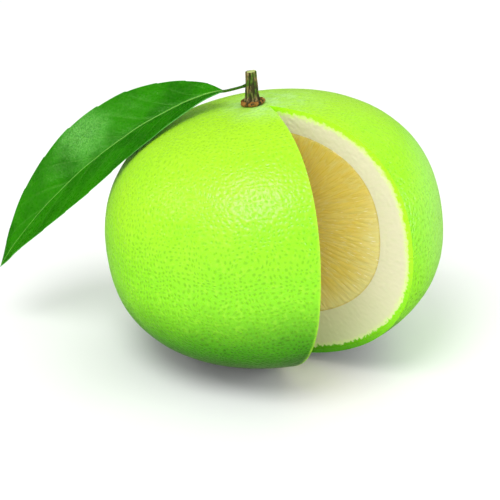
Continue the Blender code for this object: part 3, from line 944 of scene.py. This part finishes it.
def build_button():
    look = settings().stalk
    radius, height = look.calyx_radius, look.calyx_height
    builder = bmesh.new()
    hollow_shade = builder.verts.layers.float.new("hollow_shade")
    corners = [builder.verts.new((across * radius, 0.0, level * height))
               for across, level in CALYX_PROFILE]
    edges = [builder.edges.new(pair) for pair in zip(corners, corners[1:])]
    bmesh.ops.spin(builder, geom=corners + edges, axis=(0.0, 0.0, 1.0), cent=(0.0, 0.0, 0.0),
                   angle=tau, steps=CALYX_STEPS, use_merge=True)
    weld(builder)
    bmesh.ops.subdivide_edges(builder, edges=builder.edges[:], cuts=2, use_grid_fill=True)
    for corner in builder.verts:
        outward = min(1.0, hypot(corner.co.x, corner.co.y) / radius)
        sway = 0.5 * noise.noise(Vector((corner.co.x, corner.co.y, 0.0)) / (3.0 * MM))
        angle = atan2(corner.co.y, corner.co.x) + sway
        valley = 1.0 - abs(cos(look.calyx_lobes / 2.0 * angle))
        rough = noise.fractal(corner.co / (0.9 * MM), 0.9, 2.0, 3)
        spread = 1.0 + (0.13 * (1.0 - valley) + 0.06 * rough) * outward ** 3
        corner.co.x *= spread
        corner.co.y *= spread
        drop = 0.30 * valley ** 2 * outward ** 4 - 0.16 * rough * outward
        corner.co.z -= drop * corner.co.z
        # Painted shade mark: high in the creases between the lobes and towards the middle
        corner[hollow_shade] = 0.7 * valley ** 2 * outward + 0.8 * (1.0 - outward) ** 0.7 - 0.3 * rough
    place = fruit_matrix() @ Matrix.Translation(crown_place())
    finish_piece(builder, "button", "calyx", button_material(), place)


def stalk_material():
    look = settings().stalk
    material, nodes, shader = new_material("striped_bark",
                                           {"Roughness": 0.75, "Specular IOR Level": 0.2})
    mottle = nodes.group(mottle_group(), {"Scale": 380.0, "Amount": 1.6})
    place = nodes.stretch(nodes.place(), (1100.0, 1100.0, 190.0))
    strips = nodes.noise(place, 1.0, 3.0, 0.6)
    bark = nodes.fade(look.bark, look.green_bark, mottle["Clouds"], 0.35, 0.65)
    bark = nodes.fade(bark, look.button, mottle["Specks"], 0.55, 0.85, 0.4)
    bark = nodes.fade(bark, look.button_dark, strips, 0.54, 0.44, 0.95)
    # Painted shade: darker in the dips between the bark's ridges and strips
    groove_shade = nodes.mask("groove_shade")
    bark = nodes.fade(bark, look.button_dark, groove_shade, 0.5, 0.9, 0.8)
    wood = nodes.mask("cut_end")
    nodes.feed(shader["Base Color"], nodes.fade(bark, look.cut_end, wood, 0.35, 0.65))
    nodes.feed(shader["Normal"], nodes.bump(strips, 0.3 * MM, 0.8))
    return material


def build_stalk():
    look = settings().stalk
    builder = bmesh.new()
    groove_shade, cut_end = new_marks(builder, "groove_shade", "cut_end")
    bmesh.ops.create_cone(builder, cap_ends=True, segments=STEM_SEGMENTS,
                          radius1=look.foot_radius, radius2=look.top_radius,
                          depth=look.stem_length)
    upright = [edge for edge in builder.edges
               if abs(edge.verts[0].co.z - edge.verts[1].co.z) > 0.5 * look.stem_length]
    bmesh.ops.subdivide_edges(builder, edges=upright, cuts=STEM_CUTS)
    top = [face for face in builder.faces if face.normal.z > 0.9]
    for width in END_RINGS:
        bmesh.ops.inset_region(builder, faces=top, thickness=width)
    for corner in builder.verts:
        along = corner.co.z / look.stem_length + 0.5
        angle = atan2(corner.co.y, corner.co.x)
        across = hypot(corner.co.x, corner.co.y)
        side = min(1.0, across / look.top_radius)
        spot = Vector((3.2 * cos(angle), 3.2 * sin(angle), 3.0 * along))
        strip = noise.fractal(spot, 1.0, 2.0, 2)
        ridge = cos(BARK_RIDGES * angle + 1.3 * sin(tau * along))
        relief = (RIDGE_HEIGHT * ridge + STRIP_HEIGHT * strip) * side
        flare = FOOT_FLARE * max(0.0, 1.0 - 7.0 * along)
        # Painted shade mark: high in the dips between the bark's ridges and strips
        corner[groove_shade] = 0.5 - 0.35 * ridge - 0.6 * strip
        if along > 0.999:
            corner[cut_end] = 1.0 if side < 0.97 else 0.3
            corner.co.z += END_SLOPE * (corner.co.x / look.top_radius - 1.0) * side
            relief *= 0.6
        corner.co.x += (relief + flare) * cos(angle)
        corner.co.y += (relief + flare) * sin(angle)
    lift = Matrix.Translation((0.0, 0.0, look.stem_length / 2.0))
    place = fruit_matrix() @ stem_matrix() @ lift
    finish_piece(builder, "stalk", "stem", stalk_material(), place, 60.0)


# Leaf

def midrib_point(along):
    back = 1.0 - along
    return (back ** 3 * MIDRIB[0] + 3.0 * back ** 2 * along * MIDRIB[1]
            + 3.0 * back * along ** 2 * MIDRIB[2] + along ** 3 * MIDRIB[3])


def midrib_direction(along):
    back = 1.0 - along
    slope = (back ** 2 * (MIDRIB[1] - MIDRIB[0]) + 2.0 * back * along * (MIDRIB[2] - MIDRIB[1])
             + along ** 2 * (MIDRIB[3] - MIDRIB[2]))
    return slope.normalized()


def blade_axes(along):
    """Sideways and face-up directions of the blade at a place on the midrib."""
    ahead = midrib_direction(along)
    level = ahead.cross(UP).normalized()
    upright = level.cross(ahead)
    turn = BLADE_TURN[0] + (BLADE_TURN[1] - BLADE_TURN[0]) * along
    sideways = cos(turn) * level + sin(turn) * upright
    return sideways, cos(turn) * upright - sin(turn) * level


def half_width(along):
    """Distance from the midrib to the toothed margin."""
    look = settings().leaf
    smooth = look.half_width * sin(pi * along ** LEAF_BROADEST) ** LEAF_FULLNESS
    return smooth * (1.0 - look.tooth_depth * (look.teeth * along % 1.0))


def petiole_stops():
    """Petiole's route from the stem's side to the blade's foot, from the fruit's centre."""
    stalk, leaf = settings().stalk, settings().leaf
    side = PETIOLE_SINK - (stalk.foot_radius + stalk.top_radius) / 2.0
    foot = fruit_axes().to_4x4() @ stem_matrix() @ Vector((side, 0.0, leaf.petiole_height))
    joint = midrib_point(0.0) - Vector((0.0, 0.0, leaf.petiole_radius))
    bend = joint - 0.35 * (joint - foot).length * midrib_direction(0.0)
    return foot, foot.lerp(bend, 0.6), joint


def petiole_point(share):
    """Smooth curve through the petiole's stops."""
    foot, middle, joint = petiole_stops()
    control = 2.0 * middle - 0.5 * (foot + joint)
    back = 1.0 - share
    return back ** 2 * foot + 2.0 * share * back * control + share ** 2 * joint


def leaf_station(progress):
    """Centre, sideways, face-up, half width, rib radius and place along the blade."""
    look = settings().leaf
    if progress < PETIOLE_SHARE:
        share = progress / PETIOLE_SHARE
        sideways, face_up = blade_axes(0.0)
        swell = 1.0 + 0.5 * max(0.0, 1.0 - 4.0 * share)
        radius = look.petiole_radius * swell
        return petiole_point(share), sideways, face_up, radius, radius, 0.0
    along = (progress - PETIOLE_SHARE) / (1.0 - PETIOLE_SHARE)
    sideways, face_up = blade_axes(along)
    rib = look.petiole_radius + (look.rib_radius - look.petiole_radius) * min(1.0, 12.0 * along)
    rib *= 1.0 - 0.72 * along
    sink = look.petiole_radius * max(0.0, 1.0 - 12.0 * along)
    centre = midrib_point(along) - Vector((0.0, 0.0, sink))
    return centre, sideways, face_up, max(rib, half_width(along)), rib, along


def blade_surface(progress, across, upper):
    """A point of the leaf, with its vein mask."""
    look = settings().leaf
    centre, sideways, face_up, width, rib, along = leaf_station(progress)
    reach_out = across * width
    spread = min(1.0, max(0.0, (width - rib) / FULL_SPREAD))
    round_part = sqrt(max(0.0, rib * rib - reach_out * reach_out))
    margin = (1.0 - abs(across) ** 12) ** 0.5
    flat_part = 0.5 * look.thickness * margin * min(1.0, 0.35 + 0.5 * width / FULL_SPREAD)
    height = max(round_part * (1.0 - 0.75 * spread), flat_part)
    if not upper:
        height = -max(round_part, flat_part)
    fold = BLADE_FOLD[0] + (BLADE_FOLD[1] - BLADE_FOLD[0]) * along
    if across < 0.0:
        fold -= NEAR_DRAPE * max(0.0, 1.0 - along / DRAPE_END)
    phase = look.vein_pairs * (along - VEIN_SWEEP * abs(across) ** 0.8)
    nearness = abs((phase + 0.5) % 1.0 - 0.5)
    vein = max(0.0, 1.0 - nearness / VEIN_SHARE) * spread * (1.0 - abs(across)) ** 0.5
    quilt = look.wave * sin(pi * min(1.0, abs((phase % 1.0) - 0.5) * -2.0 + 1.0))
    quilt *= spread * min(1.0, abs(across) * 3.0) * (1.0 - across * across)
    ripple = RIPPLE_HEIGHT * noise.noise(Vector((9.0 * along, 3.0 * across, 2.0))) * spread
    rise = abs(across) * width * sin(fold) * spread + quilt + ripple - VEIN_DEPTH * vein
    point = centre + reach_out * cos(fold * spread) * sideways + (rise + height) * face_up
    return point, vein


def leaf_material():
    look = settings().leaf
    material, nodes, shader = new_material("leathery_leaf", {
        "Specular IOR Level": 0.30, "Specular Tint": (0.45, 1.0, 0.20, 1.0),
        "Subsurface Weight": 0.25, "Subsurface Scale": 1.0 * MM,
        "Subsurface Radius": (0.4, 1.0, 0.1)})
    mottle = nodes.group(mottle_group(), {"Scale": 70.0, "Amount": 1.3})
    vein = nodes.mask("vein")
    rib = nodes.mask("rib")
    under = nodes.mask("under")
    here = nodes.here()
    net = nodes.node("ShaderNodeTexVoronoi", {"Vector": here, "Scale": 620.0}).outputs["Distance"]
    upper = nodes.fade(look.green, look.dark, mottle["Clouds"], 0.3, 0.75, 0.7)
    lower = nodes.fade(look.under, look.green, mottle["Clouds"], 0.3, 0.75, 0.4)
    # Painted sheen: a pale patch on the upper face where the left lamp gleams
    centre = FRUIT_CENTRE + blade_surface(*LEAF_SHEEN, True)[0]
    away = nodes.vector_math("DISTANCE", here, tuple(centre))["Value"]
    away = nodes.scaled(mottle["Clouds"], 14.0 * MM, away)
    sheen_share = nodes.times(nodes.ramp(away, 26.0 * MM, 10.0 * MM, 0.8),
                       nodes.ramp(nodes.noise(here, 1400.0, 2.0), 0.35, 0.65, 1.0, 0.25))
    upper = nodes.mix(sheen_share, upper, look.sheen_patch)
    # Painted shade: the near half of the blade darker, as it lies in shade
    near = nodes.times(nodes.mask("near"), 0.75)
    upper = nodes.mix(near, upper, look.dark)
    blade = nodes.fade(upper, lower, under, 0.4, 0.6)
    blade = nodes.fade(blade, look.vein, net, 0.40, 0.80, 0.05)
    blade = nodes.fade(blade, look.vein, vein, 0.1, 0.9, 0.16)
    blade = nodes.fade(blade, look.vein, rib, 0.5, 1.0, 0.80)
    blade = nodes.fade(blade, look.edge, nodes.mask("margin"), 0.55, 1.0, 0.8)
    blade = nodes.mix(nodes.mask("stalk"), blade, look.stalk)
    nodes.feed(shader["Base Color"], blade)
    nodes.feed(shader["Roughness"], nodes.ramp(mottle["Specks"], 0.3, 0.7, 0.36, 0.26))
    height = nodes.scaled(net, -1.0, nodes.times(vein, -0.6))
    nodes.feed(shader["Normal"], nodes.bump(height, 0.12 * MM, 0.5))
    return material


def build_blade():
    """A sheet rolled round its two long sides, so that it is one closed skin."""
    builder = bmesh.new()
    marks = new_marks(builder, "vein", "rib", "under", "margin", "stalk", "near")
    for corner, progress, turn in add_grid(builder, LEAF_LENGTH_STEPS, LEAF_ROUND_STEPS):
        upper = turn > 0.0
        swing = 1.0 - 2.0 * abs(turn)
        across = copysign(abs(swing) ** 1.25, swing)
        point, vein = blade_surface(progress, across, upper)
        _, _, _, width, rib, along = leaf_station(progress)
        corner.co = point + FRUIT_CENTRE
        midrib = max(0.0, 1.25 - abs(across) * width / rib)
        # The near half's mark carries its painted shade and its wider pale margin
        near = max(0.0, 1.0 - along / 0.6) if across < 0.0 else 0.0
        rim = MARGIN_WIDTH + NEAR_MARGIN_EXTRA * near
        margin = max(0.0, 1.0 - (1.0 - abs(across)) * width / rim)
        stalk = max(0.0, 1.0 - 30.0 * along)
        under = 0.0 if upper else 1.0
        for mark, value in zip(marks, (vein, midrib, under, margin, stalk, near)):
            corner[mark] = value
    weld(builder)
    rims = [edge for edge in builder.edges if edge.is_boundary]
    bmesh.ops.holes_fill(builder, edges=rims, sides=0)
    finish_piece(builder, "blade", "leaf", leaf_material(), sharp=75.0)


# Stage

def add_lamp(name, watts, size, mirrored=True):
    """A round lamp beside the fruit that shines on it, with or without a gleam on it."""
    offset = LAMP_PLACES[name]
    lamp = bpy.data.lights.new(name, "AREA")
    lamp.shape = "DISK"
    lamp.size = size
    lamp.energy = watts
    item = show_object(name, lamp)
    item.location = FRUIT_CENTRE + offset
    item.rotation_euler = offset.to_track_quat("Z", "Y").to_euler()
    item.visible_glossy = mirrored


def build_stage():
    look = settings().stage
    scene = bpy.context.scene
    builder = bmesh.new()
    bmesh.ops.create_grid(builder, x_segments=2, y_segments=2, size=FLOOR_HALF_WIDTH)
    mesh = mesh_of(builder, "floor")
    material, _, _ = new_material("pale_floor", {"Base Color": (*look.floor, 1.0),
                                                 "Roughness": 0.6})
    mesh.materials.append(material)
    floor = show_object("floor", mesh)
    floor.visible_glossy = False

    world = bpy.data.worlds.new("studio")
    world.use_nodes = True
    backdrop = world.node_tree.nodes["Background"]
    backdrop.inputs["Color"].default_value = (1.0, 1.0, 1.0, 1.0)
    backdrop.inputs["Strength"].default_value = look.world_light
    scene.world = world
    world.cycles_visibility.glossy = False
    scene.view_settings.view_transform = "Standard"

    add_lamp("key", look.key_light, look.key_size)
    add_lamp("front", look.front_light, 0.9, mirrored=False)
    add_lamp("side", look.side_light, 0.8)
    add_lamp("left", look.left_light, 0.25)
    add_lamp("back", look.back_light, 1.1, mirrored=False)

    camera = show_object("camera", bpy.data.cameras.new("camera"))
    forward = Vector((0.0, cos(CAMERA_ELEVATION), -sin(CAMERA_ELEVATION)))
    camera.location = CAMERA_AIM - CAMERA_DISTANCE * forward
    camera.rotation_euler = (pi / 2.0 - CAMERA_ELEVATION, 0.0, 0.0)
    camera.data.lens = CAMERA_LENS
    camera.data.sensor_width = CAMERA_SENSOR
    camera.data.clip_start = CAMERA_CLIP
    scene.camera = camera


# Operators and panel

class POMELO_OT_rind(bpy.types.Operator):
    """Model the green rind with its cut edge and flat spot"""
    bl_idname = "pomelo.rind"
    bl_label = "Rind"

    def execute(self, context):
        build_rind()
        return {"FINISHED"}


class POMELO_OT_albedo(bpy.types.Operator):
    """Model the cream pith with its fibrous cut faces"""
    bl_idname = "pomelo.albedo"
    bl_label = "Pith"

    def execute(self, context):
        build_albedo()
        return {"FINISHED"}


class POMELO_OT_pulp(bpy.types.Operator):
    """Model the golden pulp with its juice sacs"""
    bl_idname = "pomelo.pulp"
    bl_label = "Pulp"

    def execute(self, context):
        build_pulp()
        return {"FINISHED"}


class POMELO_OT_stalk(bpy.types.Operator):
    """Model the lobed calyx and the woody stem that stands in it"""
    bl_idname = "pomelo.stalk"
    bl_label = "Calyx and stem"

    def execute(self, context):
        build_button()
        build_stalk()
        return {"FINISHED"}


class POMELO_OT_leaf(bpy.types.Operator):
    """Model the leaf with its petiole, midrib and side veins"""
    bl_idname = "pomelo.leaf"
    bl_label = "Leaf"

    def execute(self, context):
        build_blade()
        return {"FINISHED"}


class POMELO_OT_stage(bpy.types.Operator):
    """Set up the floor, the lamps and the camera"""
    bl_idname = "pomelo.stage"
    bl_label = "Stage"

    def execute(self, context):
        build_stage()
        return {"FINISHED"}


OPERATORS = (POMELO_OT_rind, POMELO_OT_albedo, POMELO_OT_pulp, POMELO_OT_stalk, POMELO_OT_leaf,
             POMELO_OT_stage)


class POMELO_PT_sidebar(bpy.types.Panel):
    bl_idname = "POMELO_PT_sidebar"
    bl_label = "Pomelo"
    bl_space_type = "VIEW_3D"
    bl_region_type = "UI"
    bl_category = "Pomelo"

    def draw(self, context):
        for operator in OPERATORS:
            self.layout.operator(operator.bl_idname)


CLASSES = (FruitSettings, RindColours, PithSettings, PulpSettings, StalkSettings, LeafSettings,
           StageSettings, PomeloSettings, *OPERATORS, POMELO_PT_sidebar)


def register():
    for item in CLASSES:
        bpy.utils.register_class(item)
    bpy.types.Scene.pomelo = PointerProperty(type=PomeloSettings)


def unregister():
    del bpy.types.Scene.pomelo
    for item in reversed(CLASSES):
        bpy.utils.unregister_class(item)


def main():
    register()
    bpy.ops.pomelo.rind()
    bpy.ops.pomelo.albedo()
    bpy.ops.pomelo.pulp()
    bpy.ops.pomelo.stalk()
    bpy.ops.pomelo.leaf()
    bpy.ops.pomelo.stage()


if __name__ == "__main__":
    main()
